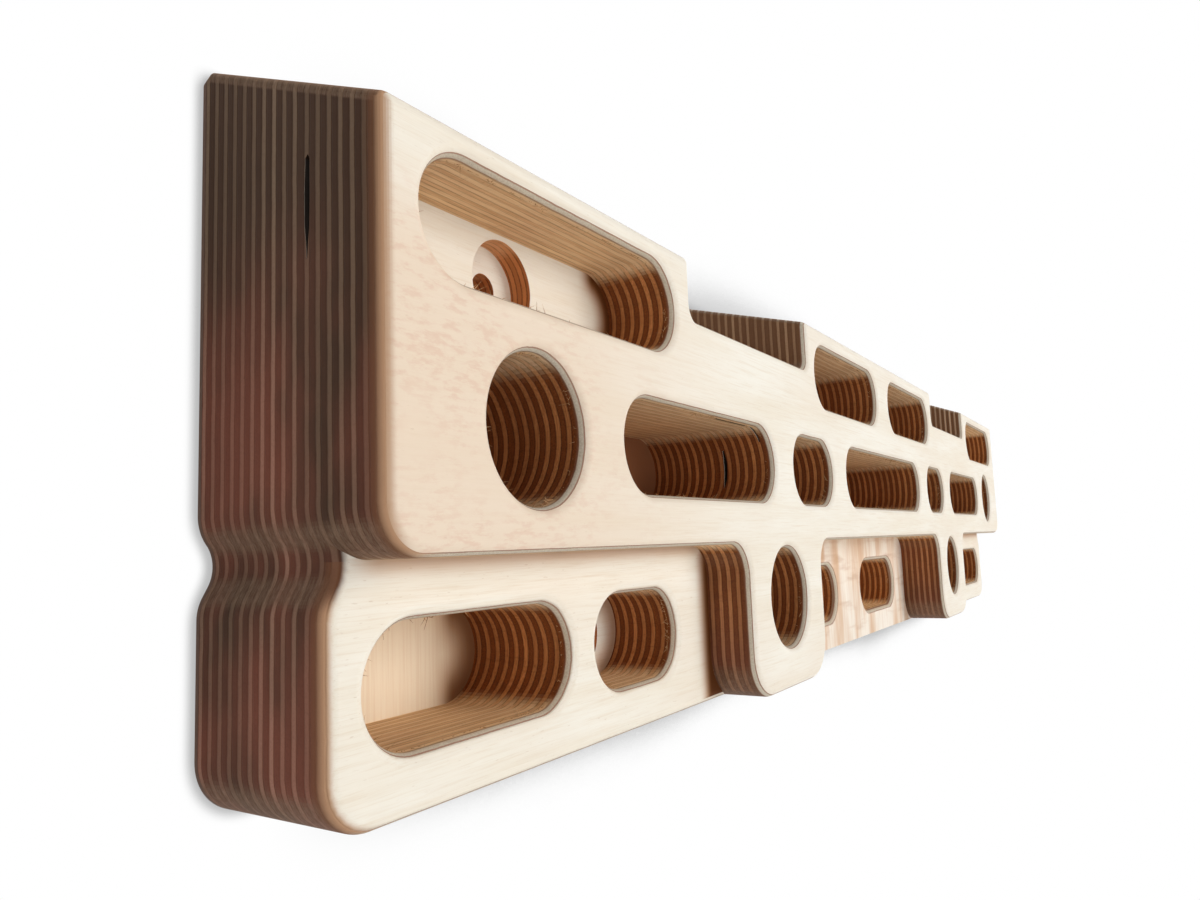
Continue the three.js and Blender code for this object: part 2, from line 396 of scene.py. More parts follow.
def pocket_cutter_tree():
    tree = bpy.data.node_groups.new("pocket_cutter", "GeometryNodeTree")
    sizes = {}
    for name in ("Half Straight", "Radius", "Centre X", "Centre Z", "Floor Y", "Face Y",
                 "Round Over"):
        sizes[name] = tree.interface.new_socket(name, in_out="INPUT", socket_type="NodeSocketFloat")
    tree.interface.new_socket("Geometry", in_out="OUTPUT", socket_type="NodeSocketGeometry")
    given = tree.nodes.new("NodeGroupInput")
    size = {name: Wire(tree, given.outputs[name]) for name in sizes}
    start = Wire(tree, None)

    levels = MOUTH_STEPS + 2
    rings = start.node("GeometryNodeMeshCylinder", {
        "Vertices": END_POINTS, "Side Segments": levels, "Radius": 1.0, "Depth": 1.0,
    }, out="Mesh", fill_type="NGON")
    across, along, climb = split_up(start, start.node("GeometryNodeInputPosition"))
    level = ((climb + 0.5) * levels + 0.5).floor()
    turn = ((level - 1) / MOUTH_STEPS).largest(0).smallest(1) * (math.pi / 2)
    widening = size["Round Over"] * (1 - turn.cosine())
    mouth_y = size["Face Y"] + size["Round Over"] * (1 - turn.sine())
    on_floor, in_front = level < 0.5, level > levels - 0.5
    depth = mouth_y + on_floor * (size["Floor Y"] - mouth_y) - in_front * overrun
    reach = size["Radius"] + widening
    x = size["Centre X"] + across * reach + across.sign() * size["Half Straight"]
    z = size["Centre Z"] + along * reach
    moved = start.node("ShaderNodeCombineXYZ", (x, depth, z))
    shaped = start.node("GeometryNodeSetPosition", {"Geometry": rings, "Position": moved})
    parted = start.node("GeometryNodeTriangulate", {"Mesh": shaped})
    whole = start.node("GeometryNodeRealizeInstances", {"Geometry": parted})
    finished = start.node("GeometryNodeSetMaterial", {"Geometry": whole})
    ending = tree.nodes.new("NodeGroupOutput")
    tree.links.new(finished.socket, ending.inputs[0])
    return tree, {name: item.identifier for name, item in sizes.items()}


pocket_tree, pocket_sockets = pocket_cutter_tree()
print("pocket cutter tree", len(pocket_tree.nodes), "nodes, inputs", list(pocket_sockets))

# %% [markdown]
# A tree only does its work as a modifier on an object. The next helper gives a mesh such a
# modifier, sets the tree's inputs, and keeps the plain mesh that comes out, so that nothing live is
# left on the board.

# %% Grow a mesh from a tree
def grown(name, tree, sockets, values, seed_mesh=None):
    """The plain mesh that a tree gives for these values, as an object of its own."""
    holder = bpy.data.objects.new(name, seed_mesh or bpy.data.meshes.new(name))
    bpy.context.scene.collection.objects.link(holder)
    modifier = holder.modifiers.new(name, "NODES")
    modifier.node_group = tree
    for key, value in values.items():
        modifier[sockets[key]] = value
    ready = holder.evaluated_get(bpy.context.evaluated_depsgraph_get())
    mesh = bpy.data.meshes.new_from_object(ready)
    holder.modifiers.remove(modifier)
    holder.data = mesh
    return holder


# %% [markdown]
# The pockets stand in three rows, on both sides of the centre. Their floors are at three depths,
# read from the photograph by counting the stripes down the walls wherever a floor is seen. The
# others are taken to be as deep as the deepest.

# %% Cut list
slot_height, hole_diameter = 24, 32
top_row, middle_row, bottom_row, tab_hole_row = 109.7, 72.3, 23.6, 29.3
jug_x, jug_width, jug_floor = 255.4, 94.5, 21
middle_slot_x, middle_slot_width = 188.6, 94
low_slot_x, low_slot_width = 271.8, 63
low_pocket_x, low_pocket_width, low_pocket_floor = 208.4, 41.5, 35.6
deep_floor = 45

# Name, x, height of its middle, width, height, depth of its floor, depth of its face
cut_list = [("centre_slot", 0, middle_row, 126.5, slot_height, deep_floor, 0)]
for side, word in ((-1, "left"), (1, "right")):
    cut_list += [
        (f"{word}_jug_slot", side * jug_x, top_row, jug_width, slot_height, jug_floor, 0),
        (f"{word}_top_slot", side * 52.4, top_row, 84.5, slot_height, deep_floor, 0),
        (f"{word}_middle_slot", side * middle_slot_x, middle_row, middle_slot_width, slot_height,
         deep_floor, 0),
        (f"{word}_small_pocket", side * 102.2, middle_row, 42, slot_height, deep_floor, 0),
        (f"{word}_low_slot", side * low_slot_x, bottom_row, low_slot_width, slot_height,
         deep_floor, side_recess_depth),
        (f"{word}_low_pocket", side * low_pocket_x, bottom_row, low_pocket_width, slot_height,
         low_pocket_floor, side_recess_depth),
        (f"{word}_inner_slot", side * 49.5, bottom_row, 61, slot_height, deep_floor,
         centre_recess_depth),
        (f"{word}_end_hole", side * 269.6, middle_row, hole_diameter, hole_diameter, deep_floor, 0),
        (f"{word}_tab_hole", side * tab_x, tab_hole_row, hole_diameter, hole_diameter,
         deep_floor, 0),
    ]


def pocket_cutter(name, x, z, width, height, floor_depth, face_depth, rounding=edge_round):
    return grown(name, pocket_tree, pocket_sockets, {
        "Half Straight": (width - height) / 2 * MM, "Radius": height / 2 * MM,
        "Centre X": x * MM, "Centre Z": bottom_z + z * MM,
        "Floor Y": front_y + floor_depth * MM, "Face Y": front_y + face_depth * MM,
        "Round Over": rounding,
    })


pockets = [pocket_cutter(*cut) for cut in cut_list]
print("pocket cutters", len(pockets), "with", len(pockets[0].data.vertices), "points each")

# %% [markdown]
# Wall screws pass the floors of the jug slots and of the low pockets, in stepped bores: a wide
# shallow one for the head and a narrow one right through. The same tree makes them, without a
# rounded mouth.

# %% Screw bores
head_bore, head_bore_depth, screw_hole = 21.4, 6, 8
sharp_mouth = 0.01 * MM
head_bores, screw_holes = [], []
for side, word in ((-1, "left"), (1, "right")):
    for place, x, z, floor in (("top", jug_x, top_row, jug_floor),
                               ("low", low_pocket_x, bottom_row, low_pocket_floor)):
        head_bores.append(pocket_cutter(f"{word}_{place}_head_bore", side * x, z, head_bore,
                                        head_bore, floor + head_bore_depth, floor, sharp_mouth))
        screw_holes.append(pocket_cutter(f"{word}_{place}_screw_hole", side * x, z, screw_hole,
                                         screw_hole, (thickness + overrun) / MM, floor,
                                         sharp_mouth))
print("bores", len(head_bores), "and", len(screw_holes))

# %% [markdown]
# ## Sloping tops
# The three raised parts have top faces that climb towards the wall, with a round front edge and a
# small chamfer behind. What lies above them is cut away by a profile that runs along the board.

# %% Top cutters
STOCK_ABOVE = 165 * MM


def top_profile(front_top, slope):
    """The top edge from front to back, as (depth, height): round-over, slope, back chamfer."""
    lean = math.atan(slope)
    centre = front_top + edge_round * slope - edge_round / math.cos(lean)
    profile = []
    for step in range(ROUND_STEPS + 1):
        angle = (math.pi / 2 - lean) * step / ROUND_STEPS
        profile.append((edge_round * (1 - math.cos(angle)), centre + edge_round * math.sin(angle)))
    chamfer_start = thickness - back_edge_chamfer
    profile.append((chamfer_start, front_top + chamfer_start * slope))
    profile.append((thickness, front_top + thickness * slope - back_edge_chamfer))
    return profile


def top_cutter(name, from_x, to_x, front_top, slope):
    profile = top_profile(front_top, slope)
    around = [(-overrun, profile[0][1]), *profile, (thickness + overrun, profile[-1][1]),
              (thickness + overrun, STOCK_ABOVE), (-overrun, STOCK_ABOVE)]
    return stacked(name, [
        [(x, front_y + depth, bottom_z + z) for depth, z in around] for x in (from_x, to_x)
    ])


split, end = notch_x * MM, half_length + overrun
tops = [
    top_cutter("left_top", -end, -split, front_top_outer, slope_outer),
    top_cutter("centre_top", -split, split, front_top_centre, slope_centre),
    top_cutter("right_top", split, end, front_top_outer, slope_outer),
]
print("top cutters", len(tops))

# %% [markdown]
# The six upright corners of the raised parts are eased by hand, so fingers don't catch on them. An
# easing cutter follows the top edge from front to back, and draws in with the round-over in front.

# %% Corner cutters
EASE_STEPS = 6
corner_ease, least_ease, cutter_reach = 1.9 * MM, 0.4 * MM, 8 * MM
ease_loss_share = 0.6


def corner_cutter(name, corner_x, outward, front_top, slope):
    rings = []
    profile = [(-overrun, top_profile(front_top, slope)[0][1]), *top_profile(front_top, slope)]
    profile.append((thickness + overrun, profile[-1][1]))
    for depth, z in profile:
        near = min(max(depth, 0), edge_round)
        inset = edge_round - math.sqrt(max(0, edge_round ** 2 - (edge_round - near) ** 2))
        radius = max(least_ease, corner_ease - inset * ease_loss_share)
        x = corner_x - outward * inset
        outside = x + outward * cutter_reach
        points = [(outside, z - radius), (outside, z + cutter_reach),
                  (x - outward * radius, z + cutter_reach)]
        for step in range(EASE_STEPS + 1):
            angle = math.pi / 2 * (1 - step / EASE_STEPS)
            points.append((x - outward * radius * (1 - math.cos(angle)),
                           z - radius * (1 - math.sin(angle))))
        rings.append([(px, front_y + depth, bottom_z + pz) for px, pz in points])
    return stacked(name, rings)


corners = []
for side, word in ((-1, "left"), (1, "right")):
    corners += [
        corner_cutter(f"{word}_end_corner", side * half_length, side,
                      front_top_outer, slope_outer),
        corner_cutter(f"{word}_outer_corner", side * notch_outer * MM, -side,
                      front_top_outer, slope_outer),
        corner_cutter(f"{word}_centre_corner", side * notch_inner * MM, side,
                      front_top_centre, slope_centre),
    ]
print("corner cutters", len(corners))

# %% [markdown]
# ## Milling
# The block is two rounded blocks joined, less every cutter. Blender's Manifold solver is quick and
# exact on closed solids. Cutters that don't touch each other are joined into one mesh first, so
# that few cuts are needed.

# %% Milling helpers
def combined(board, tool, operation):
    """The board after one Boolean with a tool, which is used up."""
    cut = board.modifiers.new("cut", "BOOLEAN")
    cut.solver, cut.operation, cut.object = "MANIFOLD", operation, tool
    ready = board.evaluated_get(bpy.context.evaluated_depsgraph_get())
    mesh = bpy.data.meshes.new_from_object(ready)
    board.modifiers.remove(cut)
    board.data = mesh
    bpy.data.objects.remove(tool)
    return board


def one_tool(name, tools):
    """Several cutters as one mesh."""
    joined = bmesh.new()
    for tool in tools:
        joined.from_mesh(tool.data)
        bpy.data.objects.remove(tool)
    mesh = bpy.data.meshes.new(name)
    joined.to_mesh(mesh)
    joined.free()
    made = bpy.data.objects.new(name, mesh)
    bpy.context.scene.collection.objects.link(made)
    return made


# %% [markdown]
# The two blocks are joined first, so that the upper half's round-over ends cleanly on the lower
# half. Then come the tops and their eased corners, the middle recess, the pockets and the bores,
# from the largest cut to the smallest.

# %% Mill the board
board = combined(upper_block, whole_block, "UNION")
for top in tops:
    board = combined(board, top, "DIFFERENCE")
board = combined(board, one_tool("all_corners", corners), "DIFFERENCE")
board = combined(board, centre_recess, "DIFFERENCE")
board = combined(board, one_tool("all_pockets", pockets), "DIFFERENCE")
board = combined(board, one_tool("head_bores", head_bores), "DIFFERENCE")
board = combined(board, one_tool("screw_holes", screw_holes), "DIFFERENCE")
board.name = "milled_board"
print("milled board", len(board.data.vertices), "vertices")

# %% [markdown]
# ## Gaps in the plies
# Inner plies of birch plywood have small gaps, where two strips of veneer don't quite meet. Milling
# opens them as dark slits. Three are plain to see: one in the left end, and two at the left middle
# slot, in its wall and in its rim. Each is cut as a flat pocket, a ply thick, with pointed ends.

# %% Ply gaps
def ply_gap(name, stations, outline):
    """A slit that narrows inwards, from stations (x, share of its size) and (depth, height)."""
    middle_depth = sum(depth for depth, z in outline) / len(outline)
    middle_z = sum(z for depth, z in outline) / len(outline)
    return stacked(name, [
        [(x * MM, front_y + (middle_depth + (depth - middle_depth) * share) * MM,
          bottom_z + (middle_z + (z - middle_z) * share) * MM) for depth, z in outline]
        for x, share in stations
    ])


end_gap = ply_gap("end_gap", ((-314, 1), (-303, 0.9), (-294, 0.3)), (
    (19.3, 100.5), (19.05, 103.5), (18.75, 106.5), (18.65, 112), (18.7, 119.4), (19.2, 120.2),
    (19.8, 119.6), (20.05, 113), (20.0, 107), (19.6, 103), (19.45, 100.5)))
slot_gap = ply_gap("slot_gap", ((-147, 1), (-138, 0.9), (-129, 0.3)), (
    (17.7, 65.5), (17.35, 68.5), (17.3, 75), (17.6, 78.8), (18.1, 78.6), (18.5, 75), (18.45, 69),
    (18.0, 65.5)))
rim_split = ply_gap("rim_split", ((-154, 0.5), (-149, 1), (-144, 0.8)), (
    (3.9, 79.5), (3.9, 85.8), (4.45, 85.2), (4.5, 79.5)))
board = combined(board, one_tool("gaps", [end_gap, slot_gap, rim_split]), "DIFFERENCE")
print("board with its gaps", len(board.data.vertices), "vertices")

# %% [markdown]
# ## Wood
# Two facts make the look of milled plywood. Seen along its grain a ply is pale and smooth, and seen
# at its end it drinks light and is dark, so the stripes swap where a wall turns from the board's
# ends to its top. And between the plies there is a thin dark glue line. Both depend only on the
# depth and on the way a wall faces, so the materials work them out from the object's coordinates.
# First come the few helpers that every finish here shares.

# %% Material helpers
def new_material(name):
    material = bpy.data.materials.new(name)
    material.use_nodes = True
    tree = material.node_tree
    tree.nodes.clear()
    return material, Wire(tree, None)


def finish_material(start, colour, roughness, shine, height, bump_distance):
    bump = start.node("ShaderNodeBump", {
        "Strength": 1.0, "Distance": bump_distance, "Height": height}, out="Normal")
    shader = start.node("ShaderNodeBsdfPrincipled", {
        "Base Color": colour, "Roughness": roughness, "Specular IOR Level": shine, "Normal": bump})
    ending = start.tree.nodes.new("ShaderNodeOutputMaterial")
    start.tree.links.new(shader.socket, ending.inputs["Surface"])


def mixed(start, amount, first, second):
    """A colour between two colours."""
    return start.node("ShaderNodeMix", {0: amount, 6: first, 7: second}, out=2, data_type="RGBA")


def tone(red, green, blue):
    """A colour as seen on screen, 0 to 255, turned into the light values that a shader uses."""

    def light(value):
        value /= 255
        return value / 12.92 if value <= 0.04045 else ((value + 0.055) / 1.055) ** 2.4
    return (light(red), light(green), light(blue), 1)


def between(value, low, high):
    """1 inside a range and 0 outside it."""
    return (value > low) * (value < high)


def spread(across, along):
    """The distance from a point, from its two parts."""
    return across.math("SQRT", across * across + along * along)


# %% [markdown]
# Wood is noise drawn out along its grain. The larger the stretch on an axis, the shorter the streak
# is on it. The surface reader gives each finish its place in the words of the bench: x along the
# board, the depth behind the front face and the height above the bottom edge, in millimetres. A
# wall is upright when it faces the ends of the board, and away when it faces out of the nearer end.
# A corner is where a wall turns from facing the ends to facing up or down.

# %% Grain and surface readers
def streaks(start, place, stretch, scale, detail=4.0, roughness=0.6, shift=(0, 0, 0)):
    """Noise that is drawn out where its stretch is small."""
    turned = start.node("ShaderNodeMapping", {"Vector": place, "Location": shift, "Scale": stretch})
    return start.node("ShaderNodeTexNoise", {"Vector": turned, "Scale": scale, "Detail": detail,
                                              "Roughness": roughness})


def read_surface(start):
    place = start.node("ShaderNodeTexCoord", out="Object")
    place = start.node("ShaderNodeVectorMath", {0: place, "Scale": 1 / MM}, operation="SCALE")
    x, y, z = split_up(start, place)
    nx, ny, nz = split_up(start, start.node("ShaderNodeTexCoord", out="Normal"))
    ends, sides = nx * nx, nz * nz
    return SimpleNamespace(
        place=place, x=x, off_centre=x.absolute(), depth=y - front_y / MM, height=z - bottom_z / MM,
        front=(-ny).largest(0), tilt=ny.absolute(), away=nx * x.sign(),
        upright=(ends / (ends + sides + 0.0001)).ramp(0.03, 0.42),
        corner=(ends * sides * 4).ramp(0.1, 0.7),
    )


# %% [markdown]
# ## Face veneer
# The face is a sanded veneer: cream, with fine fibre lines along the board, broad soft figure, and
# short dark pores. The floors of the pockets use the same grain, so it is a function of its own.

# %% Face grain
def face_grain(start, place):
    """The cream of a birch face, and how much each fibre line stands up."""
    fibre = streaks(start, place, (0.03, 1, 1), 1.7)
    hair = streaks(start, place, (0.02, 1, 1), 5.5, detail=2)
    figure = streaks(start, place, (0.010, 1, 0.11), 0.8, detail=3)
    cloud = streaks(start, place, (0.5, 1, 1), 0.03, detail=2)
    pores = streaks(start, place, (0.16, 1, 1), 2.9, detail=1).ramp(0.70, 0.8)
    wood = mixed(start, figure.ramp(0.35, 0.7), tone(248, 242, 229), tone(242, 232, 214))
    wood = mixed(start, cloud.ramp(0.45, 0.7) * 0.5, wood, tone(241, 229, 212))
    wood = mixed(start, fibre.ramp(0.45, 0.8) * 0.45, wood, tone(228, 210, 184))
    wood = mixed(start, hair.ramp(0.5, 0.8) * 0.25, wood, tone(214, 190, 158))
    wood = mixed(start, pores * 0.3, wood, tone(188, 158, 124))
    return wood, fibre * 0.6 + hair * 0.4 - pores * 0.6


# %% [markdown]
# The face is a little darker near the left end, and has a pink blush of short dashes there. Its
# front edge at the two ends of the board is sanded through to the darker end grain, so the cream
# goes over to tan there. Where the veneer's thin edge shows in a wall, it is brown.

# %% Face veneer material
def face_material(name):
    material, start = new_material(name)
    at = read_surface(start)
    wood, height = face_grain(start, at.place)
    dashes = streaks(start, at.place, (0.3, 1, 1), 0.75, roughness=0.65)
    patch = streaks(start, at.place, (1, 1, 0.7), 0.045, detail=2, shift=(3.1, 0, 1.7))
    blush = patch.ramp(0.35, 0.6) * at.x.ramp(-190, -300) * at.height.ramp(120, 98)
    near_end = at.x.ramp(-150, -290) * at.height.ramp(125, 98)
    wood = mixed(start, near_end * 0.75, wood, tone(234, 210, 184))
    wood = mixed(start, blush * dashes.ramp(0.45, 0.65) * 0.5, wood, tone(224, 186, 162))
    at_end = at.off_centre.ramp(296, 308)
    wood = mixed(start, at_end * at.away.ramp(0.12, 0.75) * 0.9, wood, tone(194, 152, 118))
    wood = mixed(start, at.tilt.ramp(0.5, 0.3), wood, tone(104, 78, 64))
    finish_material(start, wood, 0.58, 0.25, height, 0.00006)
    return material


birch_face = face_material("birch_face")
print("birch_face", len(birch_face.node_tree.nodes), "nodes")

# %% [markdown]
# ## Plies
# The plies' material first finds which ply a point is in, whether that is a cross ply, and how near
# the glue line is. The lines drift a little, as pressed veneers do. Every ply has its own shade,
# from noise that reads only the ply's number.

# %% Ply reader
def read_ply(start, at, first_ply_depth):
    drift = (streaks(start, at.place, (1, 0.3, 1), 0.12) - 0.5) * 0.45
    count = (at.depth + drift - first_ply_depth) / (inner_ply / MM)
    number, within = count.floor(), count.fraction()
    return SimpleNamespace(
        crossed=1 - ((number / 2).fraction() > 0.25), glue=within.smallest(1 - within),
        own=start.node("ShaderNodeTexWhiteNoise", {"W": number * 1.37}, noise_dimensions="1D"),
        speckle=streaks(start, at.place, (1, 1, 1), 2.6, detail=5, roughness=0.75),
        saw=streaks(start, at.place, (1, 0.15, 1), 1.1, detail=3),
    )


# %% [markdown]
# Inside the pockets the wood is freshly cut. Walls that face the ends of the board are darkest,
# because the long plies show their end grain there, and the walls above and below are a pale honey
# with broken glue lines. The bores for the screws were cut last and are the warmest.

# %% Fresh walls
def fresh_wall(start, at, ply):
    tall_fibre = streaks(start, at.place, (1, 2.5, 0.05), 1.9, detail=5)
    long_fibre = streaks(start, at.place, (0.05, 2.5, 1), 1.9, detail=5)
    end_pale = mixed(start, tall_fibre.ramp(0.3, 0.7), tone(224, 156, 98), tone(186, 120, 72))
    end_dark = mixed(start, ply.speckle.ramp(0.3, 0.7), tone(156, 90, 46), tone(114, 64, 33))
    side_pale = mixed(start, long_fibre.ramp(0.3, 0.7), tone(255, 226, 182), tone(240, 202, 156))
    side_dark = mixed(start, long_fibre.ramp(0.3, 0.7), tone(250, 212, 164), tone(216, 172, 128))
    end_wall = mixed(start, ply.crossed, end_dark, end_pale)
    side_wall = mixed(start, ply.crossed, side_pale, side_dark)
    wall = mixed(start, at.upright, side_wall, end_wall)
    wall = mixed(start, ply.own * (0.08 + at.upright * 0.22), wall, tone(100, 56, 34))
    wall = mixed(start, ply.saw.ramp(0.5, 0.8) * (0.1 + at.upright * 0.2), wall, tone(88, 50, 28))
    from_top_bore = spread(at.off_centre - jug_x, at.height - top_row)
    from_low_bore = spread(at.off_centre - low_pocket_x, at.height - bottom_row)
    top_bore = (from_top_bore < head_bore / 2 + 0.8) * (at.depth > jug_floor + 0.05)
    low_bore = (from_low_bore < head_bore / 2 + 0.5) * (at.depth > low_pocket_floor + 0.05)
    wall = mixed(start, top_bore.largest(low_bore) * 0.55, wall, tone(222, 148, 94))
    glue = ply.glue.ramp(0.2, 0.04) * (long_fibre.ramp(0.35, 0.6) * 0.35 + at.upright * 0.3)
    return mixed(start, glue, wall, tone(66, 32, 18))


# %% [markdown]
# The outside of the board has been handled. Its ends are dark and greyish, redder towards the
# bottom, with thin lines of unlike strength, and painted shade darkens the outside towards the
# front. The notch walls are browner, and the right notch is paler than the left one. The eased
# corner between an end and a top gets a painted highlight, a lighter band.

# %% Aged walls
def aged_wall_with_painted_light(start, at, ply, in_notch):
    ruddy = streaks(start, at.place, (0.6, 0.6, 0.35), 0.06, detail=3).ramp(0.3, 0.62)
    ruddy = ruddy * at.height.ramp(118, 72)
    dark = mixed(start, ruddy, tone(66, 49, 37), tone(122, 72, 57))
    pale = mixed(start, ruddy, tone(132, 113, 94), tone(172, 126, 108))
    dark = mixed(start, in_notch, dark, tone(126, 90, 64))
    pale = mixed(start, in_notch, pale, tone(188, 152, 118))
    pale = mixed(start, in_notch * at.x.ramp(0, 100) * 0.8, pale, tone(240, 206, 172))
    pale = mixed(start, ply.own * 0.6, pale, dark)
    line = ply.glue.ramp(0.04, 0.26)
    long_grain = ply.crossed * at.upright + (1 - ply.crossed) * (1 - at.upright)
    wood = mixed(start, line * long_grain, dark, pale)
    # Painted shade: the outside walls darken towards the front face, except in the notches.
    wood = mixed(start, at.depth.ramp(17, 3) * (1 - in_notch) * 0.4, wood, tone(58, 36, 24))
    # Painted highlight: a lighter band along each end's top edge, and on corners from an end to a
    # top or bottom.
    below_top = front_top_outer / MM + at.depth * slope_outer - at.height
    band = below_top.ramp(2.9, 2.3) * (at.off_centre > 309)
    hatch = streaks(start, at.place, (1, 3, 0.3), 1.2)
    painted_highlight_tone = mixed(start, hatch.ramp(0.35, 0.65), tone(104, 80, 62), tone(142, 118, 98))
    wood = mixed(start, band.largest(at.corner) * 0.6, wood, painted_highlight_tone)
    return mixed(start, ply.speckle.ramp(0.4, 0.8) * 0.35, wood, tone(76, 50, 38))


# %% [markdown]
# The round-over cuts the plies at a slant. Its first cross ply shows as a grey-beige band with a
# thin dark line on both sides. At the ends of the board it is worn to an even tan, but the hollow
# of the waist stays dark.

# %% Rim band
step_height = 47


def rim_band(start, at, ply, wall, at_end):
    band = mixed(start, ply.speckle.ramp(0.3, 0.7), tone(222, 212, 194), tone(196, 182, 160))
    band = mixed(start, (1 - ply.crossed) * 0.7, band, tone(136, 96, 64))
    band = mixed(start, ply.glue.ramp(0.24, 0.1) * 0.8, band, tone(150, 98, 72))
    rim = mixed(start, at.front.ramp(0.06, 0.35), wall, band)
    from_face = at.depth - (at.height < step_height) * side_recess_depth
    worn = mixed(start, from_face.ramp(5.0, 2.6) * 0.6, wall, tone(128, 86, 60))
    in_front_of_step = at.depth < side_recess_depth - 0.7
    off_waist = (at.height - waist_z).absolute().ramp(4, 9).largest(in_front_of_step)
    worn = mixed(start, at.front.ramp(0.05, 0.7) * off_waist, worn, tone(194, 152, 118))
    return mixed(start, at_end, rim, worn)


# %% [markdown]
# A floor shows the long grain of one ply and is nearly as cream as the face. The deep floors are
# rougher, with lines up the board, and those above the step, as in the middle row, are painted brown
# as the shade deep in a slot. The middle recess stops within a hair of a glue line, which shows
# through in soft streaks.

# %% Milled floors
def milled_floor(start, at):
    """The colour of a floor with the painted shade of its deep floors but without the shade at the
    walls' feet, and how much its grain stands up.
    """
    floor, relief = face_grain(start, at.place)
    lines = streaks(start, at.place, (1, 1, 0.02), 2.1, detail=3)
    deep = mixed(start, lines.ramp(0.35, 0.75) * 0.3, tone(255, 238, 210), tone(232, 198, 162))
    is_deep = at.depth > deep_floor - 5
    floor = mixed(start, is_deep, floor, deep)
    # Painted shade: deep floors above the step go brown.
    floor = mixed(start, is_deep * (at.height > step_height + 1) * 0.95, floor, tone(134, 78, 40))
    tall_mark = streaks(start, at.place, (1, 1, 0.16), 0.085, detail=3, shift=(5.3, 0, 2.2))
    level_mark = streaks(start, at.place, (0.16, 1, 1), 0.16, detail=3)
    streaky = mixed(start, tall_mark.ramp(0.38, 0.68), tone(250, 240, 226), tone(226, 194, 164))
    streaky = mixed(start, level_mark.ramp(0.5, 0.75) * 0.5, streaky, tone(200, 158, 124))
    streaky = mixed(start, lines.ramp(0.45, 0.8) * 0.35, streaky, tone(194, 150, 118))
    on_recess = between(at.depth, centre_recess_depth - 0.3, centre_recess_depth + 0.4)
    between_tabs = (at.off_centre < tab_inner + tab_corner) * (at.height < step_height + 1)
    middle = between_tabs * on_recess
    return mixed(start, middle, floor, streaky), relief


# %% [markdown]
# Shade is painted brown onto the floors in three places: at the foot of the end wall nearest the
# board's middle, where that wall keeps off the light from the right, beside the tabs, and under the
# step. The painted shade is a soft tan at first and turns dark only close to the wall, so the mask
# is used twice, once as it is and once cubed.

# %% Painted shade on the floors
def painted_wall_foot_shade(at, centre_x, centre_z, width, start_of_shade):
    """Painted shade: 0 on a slot's floor, up to 1 at the foot of its wall nearest the board's
    middle.
    """
    inwards = centre_x - (width - slot_height) / 2 - at.off_centre
    from_middle = spread(inwards.largest(0), at.height - centre_z)
    inside_slot = from_middle < slot_height / 2 + 0.6
    return from_middle.ramp(start_of_shade, 11.4) * inwards.ramp(-4, 4) * inside_slot


def shaded_floor(start, at, floor):
    """The floor's colour with the painted brown shade laid over it."""
    jug_foot = painted_wall_foot_shade(at, jug_x, top_row, jug_width, 3)
    slot_foot = painted_wall_foot_shade(at, low_slot_x, bottom_row, low_slot_width, -3)
    pocket_foot = painted_wall_foot_shade(at, low_pocket_x, bottom_row, low_pocket_width, 3)
    foot = jug_foot * between(at.depth, jug_floor - 0.1, jug_floor + 0.1)
    foot = foot.largest(slot_foot * (at.depth > deep_floor - 0.1) * 0.9)
    foot = foot.largest(pocket_foot * (at.depth > low_pocket_floor - 0.1) * 0.7)
    in_side_recess = at.depth < side_recess_depth + 0.3
    from_tab = (at.off_centre - tab_x).absolute() - tab_half_width
    beside_tab = from_tab.ramp(9, 0.5) * in_side_recess.largest(0.15)
    under_step = at.height.ramp(42.5, 47.5) * at.off_centre.ramp(310, 300) * 0.6 * in_side_recess
    in_low_half = (at.height < step_height + 0.5) * between(at.depth, 14, 23)
    shade = foot.largest(beside_tab.largest(under_step) * in_low_half)
    # Painted shade: a soft tan over the whole mask, then dark brown close to the walls.
    floor = mixed(start, shade, floor, tone(194, 138, 90))
    return mixed(start, shade * shade * shade, floor, tone(98, 54, 22))


# %% [markdown]
# The insides of the gaps in the plies are painted black, as the shade deep in a narrow slit. The
# mask keeps clear of the walls that they open into.

# %% Gap shade
def gap_shade_mask(at):
    """1 inside the gap in the left end, the gap in the slot's wall and the split in its rim, where
    black shade is painted.
    """
    in_end = (between(at.x, -312.48, -285) * between(at.depth, 18.55, 20.2)
              * between(at.height, 99, 123))
    slot_end = middle_slot_x - (middle_slot_width - slot_height) / 2
    past_slot_end = spread(at.x + slot_end, at.height - middle_row)
    in_wall = between(at.depth, 17.2, 18.7) * between(at.height, 64, 80)
    in_rim = between(at.depth, 3.8, 4.55) * (at.height > 80)
    return in_end.largest(between(past_slot_end, 12.15, 27) * in_wall.largest(in_rim))
